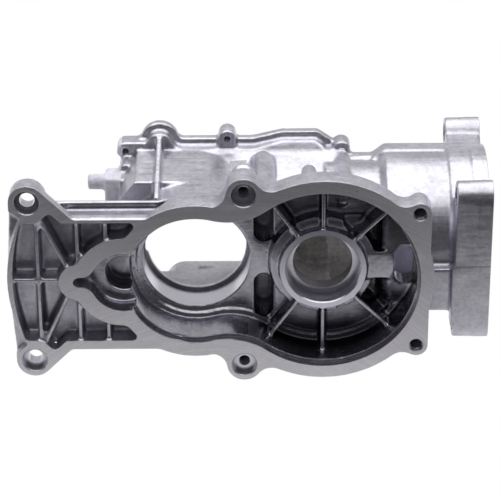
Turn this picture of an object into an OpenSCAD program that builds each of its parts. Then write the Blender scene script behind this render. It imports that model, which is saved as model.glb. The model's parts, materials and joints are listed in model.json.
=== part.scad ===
// Die-cast gearbox housing for an electric hammer: one aluminium casting.
// A gear chamber opens to the front, a cylinder barrel runs off to the right,
// and a cover flange closes the motor side at the back.
// Every place is measured from the crank bearing's axis and from the front gasket face.

/* [Crank bearing] */
// Diameter of the crank bearing seat
crank_seat_d = 32; // [28:0.5:33]
// Depth of the crank bearing seat
crank_seat_depth = 8; // [6:0.5:9]
// Width of the shoulder behind the crank bearing
crank_shoulder_w = 3; // [2:0.25:4]
// Wall of the boss around the crank bearing
boss_wall = 2.8; // [2:0.2:3.6]
// Distance from the gasket face back to the face of the boss
boss_setback = 11; // [8:0.5:12]
// Width of the step at the foot of the boss
boss_step_w = 4.2; // [2.5:0.1:5]
// Depth of that step below the face of the boss
boss_step_drop = 4.5; // [3:0.25:6]

/* [Gear chamber] */
// Radius of the gear chamber's wall
chamber_r = 40.2; // [38.5:0.1:42]
// Depth of the gear chamber below the gasket face
chamber_depth = 22; // [21:0.25:25]
// Thickness of the chamber's wall
wall = 3.2; // [2.5:0.1:4]
// Thickness of the chamber's floor
floor_t = 4; // [3:0.25:6]
// Depth of the floor beside the barrel
side_floor_depth = 27; // [26.5:0.25:28]
// Width of the gasket land
land_w = 5.7; // [4.8:0.1:6.6]
// Depth of the register that centres the cover
register_depth = 3.3; // [2:0.1:4.5]
// Radial step of that register
register_step = 1.4; // [0.8:0.1:1.8]
// Depth of the front flange
flange_depth = 11; // [9:0.5:12.5]
// Width of the sloped corner between the chamber's wall and its floor
chamber_corner = 2.4; // [1.5:0.1:4]
// Fillet radius of the chamber's waist
waist_r = 28; // [22:1:34]
// Fillet radius between the flange and its lugs
lug_fillet_r = 7; // [4:0.5:8]

/* [Spokes] */
// Thickness of a spoke
spoke_t = 1.9; // [1.4:0.1:3]
// Distance from the boss face back to the spokes
spoke_drop = 0.4; // [0.2:0.1:1.5]
// Angles of the spokes about the crank axis
spoke_angles = [45, 90, 125, 235, 270, 315];
// Half width of the bridge to the barrel
bridge_half_w = 6.6; // [5:0.2:8]

/* [Armature bearing] */
// Distance from the crank axis to the armature axis
armature_distance = 55; // [54:0.5:58]
// Diameter of the armature bearing seat
armature_seat_d = 47; // [44:0.5:48]
// Depth of the armature bearing seat
armature_seat_depth = 14.5; // [12:0.5:16]
// Width of the lip behind the armature bearing
armature_lip_w = 1.7; // [1:0.1:2.5]
// Thickness of that lip
armature_lip_t = 2.6; // [2:0.2:4]
// Room around the armature seat in the chamber
armature_room = 5.2; // [4.4:0.1:6]

/* [Idler shaft] */
// Distance from the armature axis to the idler axis
idler_distance = 31; // [30:0.5:33]
// Diameter of the idler's bearing seat
idler_seat_d = 16; // [13:0.5:18]
// Depth of the idler's land below the gasket face
idler_land_depth = 9; // [6:0.5:10]
// Depth of the idler's bearing seat
idler_seat_depth = 7; // [5:0.5:9]
// Room around the idler's seat
idler_room = 5.8; // [4:0.2:7]
// Distance from the idler axis to the oil slot's end
oil_slot_reach = 19; // [17:0.5:21]
// Radius of the oil slot
oil_slot_r = 2.4; // [1.5:0.1:3]

/* [End plate] */
// Distance from the idler axis to the end lugs
end_reach = 39.4; // [37:0.2:42]
// Half height of the end plate
plate_half_h = 33; // [31.5:0.25:34.5]
// Width of the end plate's rim
plate_rim_w = 4.5; // [3.5:0.25:5.5]
// Depth of the end plate
plate_depth = 13.4; // [12.5:0.1:14.5]
// Thickness of the end plate's floor
plate_floor_t = 3.6; // [2.4:0.1:4.4]
// Width of the curved end wall
end_wall_w = 2.3; // [1.8:0.1:3.2]
// Distance from the gasket face back to the ledge beside the end wall
end_ledge_drop = 2.5; // [1:0.25:4]
// How far the end wall bulges past the lugs
end_bulge = 10; // [9:0.25:12]
// Thickness of the end plate's ribs
rib_t = 1.9; // [1.5:0.1:3]
// Distance from the gasket face back to the ribs
rib_drop = 1; // [0.5:0.1:2]
// Radius on the end plate's outer edge
edge_r = 1; // [0.5:0.1:1.5]
// Half height of the end plate's upper front lip
lip_half_h = 30.3; // [29.8:0.1:31]
// Depth of the front lip
lip_depth = 5.5; // [4:0.25:7]
// Width of the channel behind the lip
channel_w = 5.4; // [4:0.1:5.8]

/* [Front lugs] */
// Radius of the end lugs
end_lug_r = 7.8; // [7.2:0.1:8.6]
// Height of the end lugs above the axis
end_lug_z = 37.9; // [37:0.1:39]
// Depth of the end lugs
end_lug_depth = 9; // [7.5:0.25:10]
// Diameter of the end lugs' screw holes
end_screw_d = 6.6; // [5.5:0.1:7]
// Distance of the sleeve lugs to the left of the crank axis
sleeve_lug_x = 34.2; // [33:0.1:35.5]
// Height of the sleeve lugs above the axis
sleeve_lug_z = 40.8; // [40:0.1:42]
// Radius of the sleeve lugs
sleeve_lug_r = 7.6; // [7.2:0.1:8.2]
// Diameter of the locating sleeves' recesses
sleeve_d = 10.5; // [9.5:0.1:11]
// Depth of the locating sleeves' recesses
sleeve_depth = 4; // [3:0.25:5]
// Diameter of the sleeve lugs' tapped holes
tapped_d = 5; // [4.2:0.1:5.4]
// Distance of the corner lugs to the right of the crank axis
corner_lug_x = 40.3; // [39.6:0.1:41.4]
// Height of the corner lugs above the axis
corner_lug_z = 31.6; // [31:0.1:32.6]
// Radius of the corner lugs
corner_lug_r = 5; // [4.6:0.1:5.6]
// Diameter of the corner lugs' tapped holes
corner_screw_d = 5.8; // [4.8:0.1:6.2]

/* [Motor side] */
// Depth from the gasket face to the cover flange
body_depth = 75; // [74:0.25:79]
// Thickness of the cover flange
cover_flange_t = 4; // [3:0.25:5]
// Half height of the cover flange
cover_half_h = 35.1; // [34.6:0.1:36.5]
// Width of the cover flange
cover_flange_w = 2.9; // [2.4:0.1:3.6]
// Depth of the recess behind the cover flange
cover_recess = 9; // [8:0.25:10]
// Radius of the motor tube at the front
tube_front_r = 32; // [31.4:0.1:32.6]
// Radius of the motor tube at the back
tube_back_r = 31.9; // [31.4:0.1:32.4]
// Radius of the arch over the wire way
arch_r = 8.5; // [7.5:0.25:9.5]
// Distance from the armature axis to the arch
arch_distance = 16.6; // [15:0.2:18]
// Radius of the cover lugs
cover_lug_r = 3.9; // [3.5:0.1:4.6]
// Length of the cover lugs
cover_lug_length = 8.5; // [7:0.25:10]
// Diameter of the cover lugs' tapped holes
cover_screw_d = 3; // [2.6:0.1:4.2]

/* [Barrel] */
// Depth of the barrel's axis below the gasket face
barrel_depth = 53.25; // [52.5:0.25:55]
// Outer radius of the barrel
barrel_r = 33.5; // [33:0.25:34.5]
// Radius of the barrel's main bore
barrel_bore_r = 30; // [28:0.25:30.5]
// Distance from the crank axis to the nose face
nose_x = 72.6; // [70:0.5:78]
// Outer radius of the narrow barrel behind the main bore
neck_r = 29.5; // [29:0.25:30.5]
// Radius of the neck's bore
neck_bore_r = 25; // [23:0.25:26]
// Distance from the crank axis to the end of the neck
neck_end_x = 27; // [25.5:0.25:29]
// Thickness of the nose flange
nose_flange_t = 6.6; // [5:0.25:8]
// Thickness of the nose flange with its lugs
nose_lug_t = 15.5; // [12:0.5:17]
// Spacing of the nose bolts front to back
nose_bolt_y = 66.75; // [64:0.25:68]
// Spacing of the nose bolts up and down
nose_bolt_z = 60.5; // [58:0.25:62]
// Radius of the nose lugs
nose_lug_r = 7.2; // [6.8:0.1:8.4]
// Diameter of the nose bolt holes
nose_bolt_d = 8.5; // [6.5:0.25:9]

/* [Hidden] */
$fn = 60;
eps = 0.5;

crank_seat_r = crank_seat_d / 2;
crank_hole_r = crank_seat_r - crank_shoulder_w;
boss_r = crank_seat_r + boss_wall;
boss_step_r = boss_r + boss_step_w;
boss_step_y = boss_setback + boss_step_drop;
spoke_y = boss_setback + spoke_drop;
chamber_back = chamber_depth + floor_t;
flange_r = chamber_r + register_step + land_w;

armature_x = -armature_distance;
armature_seat_r = armature_seat_d / 2;
armature_lobe_r = armature_seat_r + armature_room;
armature_flange_r = armature_lobe_r + register_step + land_w;
armature_seat_end = chamber_depth + armature_seat_depth;
armature_lip_r = armature_seat_r - armature_lip_w;
armature_lip_end = armature_seat_end + armature_lip_t;

idler_x = armature_x - idler_distance;
idler_seat_r = idler_seat_d / 2;
idler_lobe_r = idler_seat_r + idler_room;
idler_flange_r = idler_lobe_r + register_step + land_w;
oil_slot_x = idler_x - oil_slot_reach;
tip_r = oil_slot_r + register_step + land_w - 1;

end_x = idler_x - end_reach;
plate_floor_y = plate_depth - plate_floor_t;
end_diag = end_lug_r * sqrt(0.5);
end_corner_x = end_x + end_diag + (end_lug_z + end_diag - plate_half_h);
end_boss_r = end_lug_r + 1.8;

cover_front = body_depth - cover_flange_t;
cover_floor = body_depth - cover_recess;
cover_wall_h = cover_half_h - cover_flange_w;
cover_inner_h = cover_wall_h - wall - 0.3;
lip_corner_x = end_corner_x + plate_half_h - lip_half_h;
channel_x = end_corner_x - 1.2;
channel_z = lip_half_h - 0.9;
cover_left = idler_x + 1;
shoulder_y = armature_lip_end - 6.6;
cover_right = 5;
arch_x = armature_x - arch_distance;
arch_z = cover_half_h - 1;

// Crank room: its roof slopes up towards the back
crank_room_end = cover_floor - floor_t;
roof_slope = 0.33;
roof_back_z = cover_wall_h - 0.8;
roof_front_z = roof_back_z - roof_slope * (cover_floor - chamber_back);
crank_room_front_r = roof_front_z - wall;
crank_room_back_r = neck_bore_r - 1;
crank_room_right = 4;
motor_room_h = tube_back_r - wall;
motor_room_left = cover_left + 2.4;
motor_room_right = -crank_room_back_r - wall;

// Pad along the top of the barrel and the block in front of it
pad_front = barrel_depth + 8.6;
pad_back = barrel_depth + 16.6;
pad_h = barrel_r - 0.2;
web_front = barrel_depth - barrel_r - 4.7;
web_z = [-23, -2.5];
platform_r = barrel_depth - boss_setback - 3.6;
neck_taper = 3.3;
nose_lug_x = nose_x - nose_lug_t;
nose_flange_x = nose_x - nose_flange_t;
nose_front = barrel_depth - nose_bolt_y / 2 - nose_lug_r;

// Slots beside the boss and the slot into the barrel
side_slot_x = -25.5;
side_slot_r = 4;
side_slot_z = [12, 24.4];
side_slot_end = armature_lip_end - 1.5;
bulge_z = side_slot_z[1] + 4.4;
barrel_slot_x = 35.3;
barrel_slot_r = 4.1;
barrel_slot_half = 5.1;

// Raised facet that breaks the foot of the boss beside the upper right spoke
facet_y = chamber_depth - 2.5;
facet = [[9.2, 22.2], [17.6, 22.2], [13.1, 15], [8.7, 19.2]];

// Sensor block on the motor side
sensor_block_x = cover_left - 10.7;
sensor_block_z = 25.4;
sensor_pin_r = 3.6;
sensor_pin_length = 7.6;
sensor_y = barrel_depth + 1.25;

// Points along an arc from angle a to angle b about c
function arc(c, r, a, b, n) =
    [for (i = [0:n]) c + r * [cos(a + (b - a) * i / n), sin(a + (b - a) * i / n)]];

// Extrudes a drawing in X and Z from depth a to depth b
module along_y(a, b) {
    translate([0, b, 0]) rotate([90, 0, 0]) linear_extrude(height = b - a) children();
}

// Extrudes a drawing in Y and Z from x = a to x = b
module along_x(a, b) {
    translate([a, 0, 0]) rotate([90, 0, 90]) linear_extrude(height = b - a) children();
}

// A round bar or cone along Y
module rod_y(x, z, a, b, r1, r2) {
    translate([x, a, z]) rotate([-90, 0, 0]) cylinder(h = b - a, r1 = r1, r2 = r2);
}

// A round bar or cone along X
module rod_x(y, z, a, b, r1, r2) {
    translate([a, y, z]) rotate([0, 90, 0]) cylinder(h = b - a, r1 = r1, r2 = r2);
}

// Draws its children above and below the axis
module both_sides() {
    children();
    mirror([0, 1]) children();
}

// Builds its children above the axis and mirrors them below it
module above_and_below() {
    children();
    mirror([0, 0, 1]) children();
}

// Draws a slot of radius r from point a to point b
module slot(a, b, r) {
    side = r * [a[1] - b[1], b[0] - a[0]] / norm(b - a);
    for (end = [a, b]) translate(end) circle(r);
    polygon([a + side, b + side, b - side, a - side]);
}

// Fills the inside corners of a drawing with radius r
module filled_corners(r) {
    offset(r = -r) offset(delta = r) children();
}

// Rounds the outside corners of a drawing with radius r
module rounded_corners(r) {
    offset(r = r) offset(delta = -r) children();
}

// The waisted room of the crank gear and the armature bearing, grown by e
module deep_room(e) {
    filled_corners(waist_r) {
        circle(chamber_r + e);
        translate([armature_x, 0]) circle(armature_lobe_r + e);
    }
}

// The part of the chamber beside the barrel, between the two right-hand spokes
module side_floor_outline(e, reach) {
    intersection() {
        deep_room(e);
        polygon([[-reach, 0], [chamber_r, chamber_r + reach], [chamber_r, -chamber_r - reach]]);
        translate([0, -27 - reach / 2]) square([chamber_r, 54 + reach]);
    }
}

// The idler's shallow room with its oil slot
module shallow_room() {
    filled_corners(6) {
        translate([idler_x, 0]) circle(idler_lobe_r);
        slot([oil_slot_x, 0], [idler_x - idler_lobe_r + 1, 0], oil_slot_r);
    }
}

// The land around the armature, the idler and the oil slot
module gear_band() {
    filled_corners(3) {
        translate([armature_x, 0]) circle(armature_flange_r + 0.5);
        translate([idler_x, 0]) circle(idler_flange_r);
        translate([oil_slot_x, 0]) circle(tip_r);
    }
}

// Outline of the end plate: two lugs, a bulging end wall and a straight rim
module plate_outline(inset, bulge_inset) {
    lug_edge = [end_x - 2.6, end_lug_z - end_lug_r];
    bulge = end_bulge - bulge_inset;
    bulge_r = (pow(lug_edge[1], 2) + pow(bulge - 2.6, 2)) / (2 * (bulge - 2.6));
    half = asin(lug_edge[1] / bulge_r);
    centre = [end_x - bulge + bulge_r, 0];
    slant = inset * (sqrt(2) - 1);
    polygon(concat(
        [[armature_x, plate_half_h - inset], [end_corner_x - slant, plate_half_h - inset],
         [end_x + end_diag - inset * sqrt(2), end_lug_z + end_diag], [end_x, end_lug_z]],
        arc(centre, bulge_r, 180 - half, 180 + half, 24),
        [[end_x, -end_lug_z], [end_x + end_diag - inset * sqrt(2), -end_lug_z - end_diag],
         [end_corner_x - slant, inset - plate_half_h], [armature_x, inset - plate_half_h]]));
}

// Outline of the whole front face
module front_outline() {
    filled_corners(lug_fillet_r) {
        circle(flange_r);
        translate([armature_x, 0]) circle(armature_flange_r);
        both_sides() translate([-sleeve_lug_x, sleeve_lug_z]) circle(sleeve_lug_r);
        slot([corner_lug_x, corner_lug_z], [corner_lug_x, -corner_lug_z], corner_lug_r);
        translate([armature_x, -plate_half_h]) square([armature_distance, 2 * plate_half_h]);
    }
}

// The ledge beside the end wall, straight down from the lugs
module plate_ledge() {
    edge_x = end_x - end_lug_r;
    tip_x = end_x - end_bulge;
    polygon([[end_x, end_lug_z - 4], [edge_x, end_lug_z - 4], [edge_x - 1, end_lug_z / 2],
             [tip_x + 0.2, 5], [tip_x + 0.2, -5], [edge_x - 1, -end_lug_z / 2],
             [edge_x, 4 - end_lug_z], [end_x, 4 - end_lug_z]]);
}

module end_lug_outline() {
    both_sides() {
        translate([end_x, end_lug_z]) circle(end_lug_r);
        translate([end_x - end_lug_r, end_lug_z - 4.4]) square([end_lug_r, 4.4]);
    }
}

// The cutter that rounds a straight edge: a square corner less a quarter circle
module edge_profile() {
    polygon(concat([[-eps, edge_r], [-eps, -eps], [edge_r, -eps]],
                   arc([edge_r, edge_r], edge_r, 270, 180, 8)));
}

// The end plate as a solid slab, with a front lip and a channel behind it
module end_plate_slab() {
    difference() {
        union() {
            along_y(0, plate_depth) plate_outline(0, 0);
            along_y(end_ledge_drop, plate_depth) plate_ledge();
        }
        // the upper lip is lower than the rim behind it
        along_y(-eps, lip_depth + eps)
            polygon([[lip_corner_x, lip_half_h], [end_corner_x - 1, plate_half_h + 1],
                     [armature_x, plate_half_h + 1], [armature_x, lip_half_h]]);
        // front edges
        translate([lip_corner_x, 0, lip_half_h]) edge_cut(armature_x - lip_corner_x);
        mirror([0, 0, 1])
            translate([end_corner_x, 0, plate_half_h]) edge_cut(armature_x - end_corner_x);
        // the slanted rims are no deeper than the lip
        above_and_below()
            along_y(lip_depth, plate_depth + eps)
                polygon([[end_x - 12, plate_half_h], [end_corner_x + 2, plate_half_h],
                         [end_x + 14, end_lug_z + 12], [end_x - 12, end_lug_z + 12]]);
    }
    along_y(0, end_lug_depth) end_lug_outline();
}

// Rounds an edge that runs along X
module edge_cut(length) {
    rotate([0, 90, 0]) linear_extrude(height = length) edge_profile();
}

// The channel between the front lip and the rim behind it, slanted at both ends
module rim_channel() {
    above_and_below()
        intersection() {
            along_y(lip_depth, lip_depth + channel_w)
                polygon([[channel_x, channel_z], [channel_x - 6.6, channel_z + 6.6],
                         [armature_x, channel_z + 6.6], [armature_x, channel_z]]);
            linear_extrude(height = channel_z + 7)
                polygon([[end_x, lip_depth - eps], [armature_x - 18, lip_depth - eps],
                         [armature_x - 9, lip_depth + channel_w + eps],
                         [end_x, lip_depth + channel_w + eps]]);
        }
}

// Ribs of the end plate as a drawing
module plate_ribs() {
    tip_x = oil_slot_x - tip_r;
    translate([end_x + 3.3 - rib_t / 2, -end_lug_z]) square([rib_t, 2 * end_lug_z]);
    translate([end_x - end_bulge, 0.5 - rib_t / 2]) square([tip_x - end_x + end_bulge + 2, rib_t]);
    both_sides() {
        slot([end_x + 5, end_lug_z - 8], [tip_x + 3.5, tip_r * 0.85], rib_t / 2);
        for (x = [oil_slot_x, idler_x - 6.8])
            translate([x - rib_t / 2, 0]) square([rib_t, plate_half_h]);
    }
}

module plate_pockets() {
    difference() {
        plate_outline(plate_rim_w, end_wall_w);
        gear_band();
        both_sides() translate([end_x, end_lug_z]) circle(end_boss_r);
        translate([armature_x - 20, -plate_half_h]) square([30, 2 * plate_half_h]);
    }
}

// The front half: flange, lugs, chamber walls and end plate, all solid
module front_solids() {
    along_y(0, flange_depth) front_outline();
    along_y(0, plate_depth) gear_band();
    end_plate_slab();
    // the wall steps in towards the floor, outside and inside
    along_y(flange_depth - 1, chamber_depth - 3) deep_room(wall);
    along_y(chamber_depth - 4, chamber_depth) deep_room(wall / 2);
    along_y(chamber_depth - 4, chamber_back) deep_room(-0.4);
    along_y(chamber_back - 1, side_floor_depth + floor_t) side_floor_outline(-0.4, wall + 1);
    for (side = [1, -1]) {
        rod_y(-sleeve_lug_x, side * sleeve_lug_z, 1, chamber_depth, 5.6, 5.2);
        rod_y(corner_lug_x, side * corner_lug_z, 1, flange_depth + 2, corner_lug_r - 0.2,
              corner_lug_r - 0.4);
        rod_y(end_x, side * end_lug_z, 1, end_lug_depth + 0.4, end_lug_r - 0.6, end_lug_r - 1);
    }
    rod_y(idler_x, 0, plate_depth - 1, idler_land_depth + idler_seat_depth + floor_t,
          idler_seat_r + 3, idler_seat_r + 2.6);
}

// Outline of the cover flange at the back
module cover_outline() {
    filled_corners(2.5) {
        translate([cover_left, -cover_half_h])
            square([cover_right - cover_left - 6, 2 * cover_half_h]);
        both_sides() translate([arch_x, arch_z]) circle(arch_r);
        polygon([[-30, -cover_half_h], [-17, -cover_half_h - 3.1], [-1, -cover_half_h - 3.1],
                 [cover_right, -cover_half_h + 1], [cover_right, cover_half_h - 1],
                 [-1, cover_half_h + 3.1], [-17, cover_half_h + 3.1], [-30, cover_half_h]]);
    }
}

// Outline of the room inside the cover flange, less an inset
module cover_room_outline(inset) {
    offset(delta = -cover_flange_w - wall - 0.3 - inset) cover_outline();
}

// Section of the motor room under the sloping roof, in Y and Z
module room_under_roof() {
    front = armature_lip_end + 2;
    front_z = roof_front_z + roof_slope * (front - chamber_back) - wall - 0.6;
    back_z = roof_back_z - wall - 0.6;
    polygon([[front, front_z], [cover_floor, back_z], [cover_floor + 1, back_z],
             [cover_floor + 1, -back_z], [cover_floor, -back_z], [front, -front_z]]);
}

// Limits the cover flange's wall to a slope that starts from the roof
module wall_slope() {
    slope = (cover_half_h + 3.5 - roof_back_z) / (cover_flange_t + 1);
    start = cover_floor - 1;
    polygon([[start, roof_back_z], [start + 9, roof_back_z + 9 * slope],
             [start + 9, -roof_back_z - 9 * slope], [start, -roof_back_z]]);
}

cover_lugs = [[cover_left - 1.9, cover_half_h - cover_lug_r],
              [armature_x + 13.6, cover_half_h + 1.8],
              [cover_right + 4.7, cover_half_h - cover_lug_r]];

module motor_side_solids() {
    rod_y(armature_x, 0, flange_depth - 2, cover_front + 1, tube_front_r, tube_back_r);
    // squared shoulder on the far side of the tube
    along_y(shoulder_y, cover_front + 1)
        polygon([[armature_x, tube_back_r], [cover_left + 3.5, tube_back_r],
                 [cover_left - 3.5, tube_back_r - 9], [cover_left - 3.5, 9 - tube_back_r],
                 [cover_left + 3.5, -tube_back_r], [armature_x, -tube_back_r]]);
    // crank room with its sloping roof
    along_x(armature_x, cover_right + 2)
        polygon([[chamber_back - 2, roof_front_z], [cover_floor, roof_back_z],
                 [cover_front + 1, roof_back_z], [cover_front + 1, -roof_back_z],
                 [cover_floor, -roof_back_z], [chamber_back - 2, -roof_front_z]]);
    // wall and rim of the cover flange
    along_y(cover_floor, cover_front + 1)
        intersection() {
            offset(delta = -cover_flange_w) cover_outline();
            translate([cover_left, -cover_half_h - 12])
                square([armature_distance - 24, 2 * cover_half_h + 24]);
        }
    intersection() {
        along_y(cover_floor - 1, cover_front + 1) offset(delta = -cover_flange_w) cover_outline();
        along_x(armature_x, cover_right + 2) wall_slope();
    }
    along_y(cover_front, body_depth) cover_outline();
    // the left lug runs on to the arch
    along_y(body_depth - cover_lug_length, body_depth) both_sides()
        polygon([[cover_lugs[0][0], cover_half_h], [arch_x, cover_half_h],
                 [arch_x, cover_wall_h - 5], [cover_left + 2, cover_wall_h - 9],
                 [cover_lugs[0][0], cover_half_h - 2 * cover_lug_r]]);
    for (lug = cover_lugs)
        along_y(body_depth - cover_lug_length, body_depth)
            both_sides() {
                translate(lug) circle(cover_lug_r);
                translate([lug[0] - cover_lug_r, cover_wall_h - 3])
                    square([2 * cover_lug_r, lug[1] - cover_wall_h + 3]);
            }
    above_and_below() {
        // rib along the tube, under the arch
        along_x(arch_x - 1.2, arch_x + 1.2)
            polygon([[chamber_depth - 3, 12], [chamber_depth - 3, plate_half_h - 2],
                     [cover_floor, cover_half_h + 3.5], [cover_front + 1, cover_half_h + 3.5],
                     [cover_front + 1, 12]]);
        // bulge over the side slot, a core boss and the long screw boss
        rod_y(side_slot_x, bulge_z, chamber_back - 6, cover_floor - 7, 5.6, 5.2);
        translate([side_slot_x, cover_floor - 7, bulge_z]) sphere(5.2);
        translate([side_slot_x - 5.4, chamber_back - 6, side_slot_z[0]])
            cube([10.8, side_slot_end - chamber_back + 10, bulge_z - side_slot_z[0]]);
        rod_y(cover_right + 4.5, cover_half_h - cover_lug_r - 3.4, chamber_back - 2,
              cover_floor + 1, 3.8, 3.3);
        rod_y(-5.6, roof_front_z + 13.6, chamber_back - 6, chamber_back + 16, 3.8, 3.5);
        translate([-5.6, chamber_back + 16, roof_front_z + 13.6]) sphere(3.5);
    }
    // sensor block and its spigot, and the lump that ties the block to the left lug
    translate([sensor_block_x, sensor_y - 5.5, 4])
        cube([cover_left - sensor_block_x + 4, 13, sensor_block_z - 4]);
    rod_y(cover_left - 1.2, sensor_block_z + 0.2, sensor_y + 2.5, cover_floor + 2, 3.3, 3.3);
    rod_x(sensor_y, sensor_block_z - sensor_pin_r + 0.2, sensor_block_x - sensor_pin_length,
          sensor_block_x + 2, sensor_pin_r - 0.2, sensor_pin_r);
}

// Outline of the nose flange in Y and Z
module nose_outline() {
    filled_corners(6) {
        translate([barrel_depth, 0]) circle(barrel_r + 2.6);
        for (y = [-1, 1], z = [-1, 1])
            translate([barrel_depth + y * nose_bolt_y / 2, z * nose_bolt_z / 2])
                circle(nose_lug_r);
        translate([barrel_depth - nose_bolt_y / 2 - nose_lug_r, -nose_bolt_z / 2])
            square([20, nose_bolt_z]);
    }
}

module barrel_solids() {
    rod_x(barrel_depth, 0, cover_right - 3, neck_end_x + 1, neck_r, neck_r);
    rod_x(barrel_depth, 0, neck_end_x - neck_taper / 2, neck_end_x + neck_taper / 2, neck_r - 0.2,
          barrel_r);
    rod_x(barrel_depth, 0, neck_end_x + neck_taper / 2, nose_flange_x + 1, barrel_r, barrel_r);
    rod_x(barrel_depth, 0, nose_lug_x - 1, nose_flange_x + 1, barrel_r + 1.4, barrel_r + 1.4);
    along_x(nose_flange_x, nose_x) nose_outline();
    for (y = [-1, 1], z = [-1, 1])
        rod_x(barrel_depth + y * nose_bolt_y / 2, z * nose_bolt_z / 2, nose_lug_x, nose_x,
              nose_lug_r - 0.2, nose_lug_r - 0.05);
    // front wall between the two front lugs, a little proud below the parting line
    translate([nose_lug_x, nose_front + 0.3, -nose_bolt_z / 2])
        cube([nose_lug_t, 15, nose_bolt_z]);
    translate([nose_lug_x - 1.2, nose_front + 0.1, -nose_bolt_z / 2])
        cube([nose_lug_t, 9, nose_bolt_z / 2 - 0.7]);
    // step from the pads up to the rear lugs
    above_and_below()
        translate([nose_lug_x, pad_front, 10])
            cube([nose_lug_t - 1, nose_bolt_y / 2 - 8.6, pad_h - 10.4]);
    // web from the gear chamber to the nose flange
    translate([chamber_r - 2, web_front, web_z[0]])
        cube([nose_lug_x - chamber_r + 3, 16, web_z[1] - web_z[0]]);
    // pads along the neck and the barrel; the neck's pad has a slanted front edge
    above_and_below() {
        translate([0, 0, 10]) linear_extrude(height = neck_r - 10.4)
            polygon([[cover_right, pad_front], [neck_end_x + 3, pad_front + 3.2],
                     [neck_end_x + 3, pad_back], [cover_right, pad_back]]);
        along_y(pad_front, pad_back)
            polygon([[neck_end_x - 4, 10], [neck_end_x - 4, neck_r - 0.6], [neck_end_x + 1.5, pad_h],
                     [nose_flange_x + 1, pad_h], [nose_flange_x + 1, 10]]);
    }
}

// Everything that the die's cores leave open
module cored_rooms() {
    along_y(-eps, chamber_depth - 1.7) deep_room(0);
    along_y(chamber_depth - 2, chamber_depth) deep_room(-chamber_corner);
    along_y(chamber_depth - 1, side_floor_depth) side_floor_outline(-chamber_corner, 0);
    along_y(-eps, register_depth) deep_room(register_step);
    along_y(-eps, idler_land_depth) shallow_room();
    along_y(-eps, plate_floor_y) rounded_corners(2) plate_pockets();
    // motor room behind the armature bearing, squared on its left side
    rod_y(armature_x, 0, armature_lip_end, cover_floor + 1, motor_room_h, motor_room_h);
    along_y(armature_lip_end, body_depth + eps)
        polygon([[armature_x, motor_room_h], [motor_room_left + 4.2, motor_room_h],
                 [motor_room_left, motor_room_h - 4.2], [motor_room_left, 4.2 - motor_room_h],
                 [motor_room_left + 4.2, -motor_room_h], [armature_x, -motor_room_h]]);
    along_x(armature_x, motor_room_right) room_under_roof();
    along_y(cover_floor, cover_front) cover_room_outline(1.6);
    along_y(cover_front - eps, body_depth + eps) cover_room_outline(0);
    along_y(cover_floor, body_depth + eps)
        translate([arch_x - 5.5, -cover_inner_h - 2]) square([11, 2 * cover_inner_h + 4]);
    rim_channel();
    // crank room and the cylinder bores that open into it
    rod_y(0, 0, chamber_back - 1, crank_room_end, crank_room_front_r, crank_room_back_r);
    rod_x(barrel_depth, 0, crank_room_right, neck_end_x + 3, neck_bore_r, neck_bore_r);
}

// Bridge and platform that carry the barrel's slot, inside the gear chamber
module barrel_platform() {
    intersection() {
        along_y(boss_setback, side_floor_depth + 1) circle(chamber_r + 1);
        union() {
            rod_x(barrel_depth, 0, neck_end_x + 1.4, chamber_r + 2, platform_r, platform_r);
            rod_x(barrel_depth, 0, neck_end_x - 2, neck_end_x + 1.5, platform_r - 2.5, platform_r);
        }
    }
    translate([boss_r - 1, barrel_depth - platform_r, -bridge_half_w])
        cube([neck_end_x - boss_r + 3, chamber_depth - boss_setback, 2 * bridge_half_w]);
}

// Crank bearing boss with its foot and spokes, and the end plate's ribs
module chamber_fittings() {
    along_y(rib_drop, plate_floor_y + 0.5)
        intersection() {
            plate_ribs();
            offset(delta = 0.6) rounded_corners(2) plate_pockets();
        }
    rod_y(0, 0, boss_setback, chamber_back, boss_r, boss_r + 0.3);
    difference() {
        rod_y(0, 0, boss_step_y, side_floor_depth + 1, boss_step_r, boss_step_r + 0.6);
        rod_y(0, 0, chamber_back, side_floor_depth + 2, boss_r, boss_r);
        along_y(boss_step_y - 1, facet_y) polygon(facet);
    }
    for (a = spoke_angles)
        rotate([0, -a, 0]) translate([boss_r - 1, spoke_y, -spoke_t / 2])
            cube([chamber_r - boss_r + 1 + wall / 2,
                  (cos(a) > 0.1 ? side_floor_depth : chamber_depth) + 1 - spoke_y, spoke_t]);
    barrel_platform();
    // marks left by the die between the upper spokes
    rod_y(8.6, 27.6, chamber_depth - 0.8, chamber_back - 1, 1.9, 2.1);
    along_y(facet_y, chamber_back - 1) polygon(facet);
}

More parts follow.
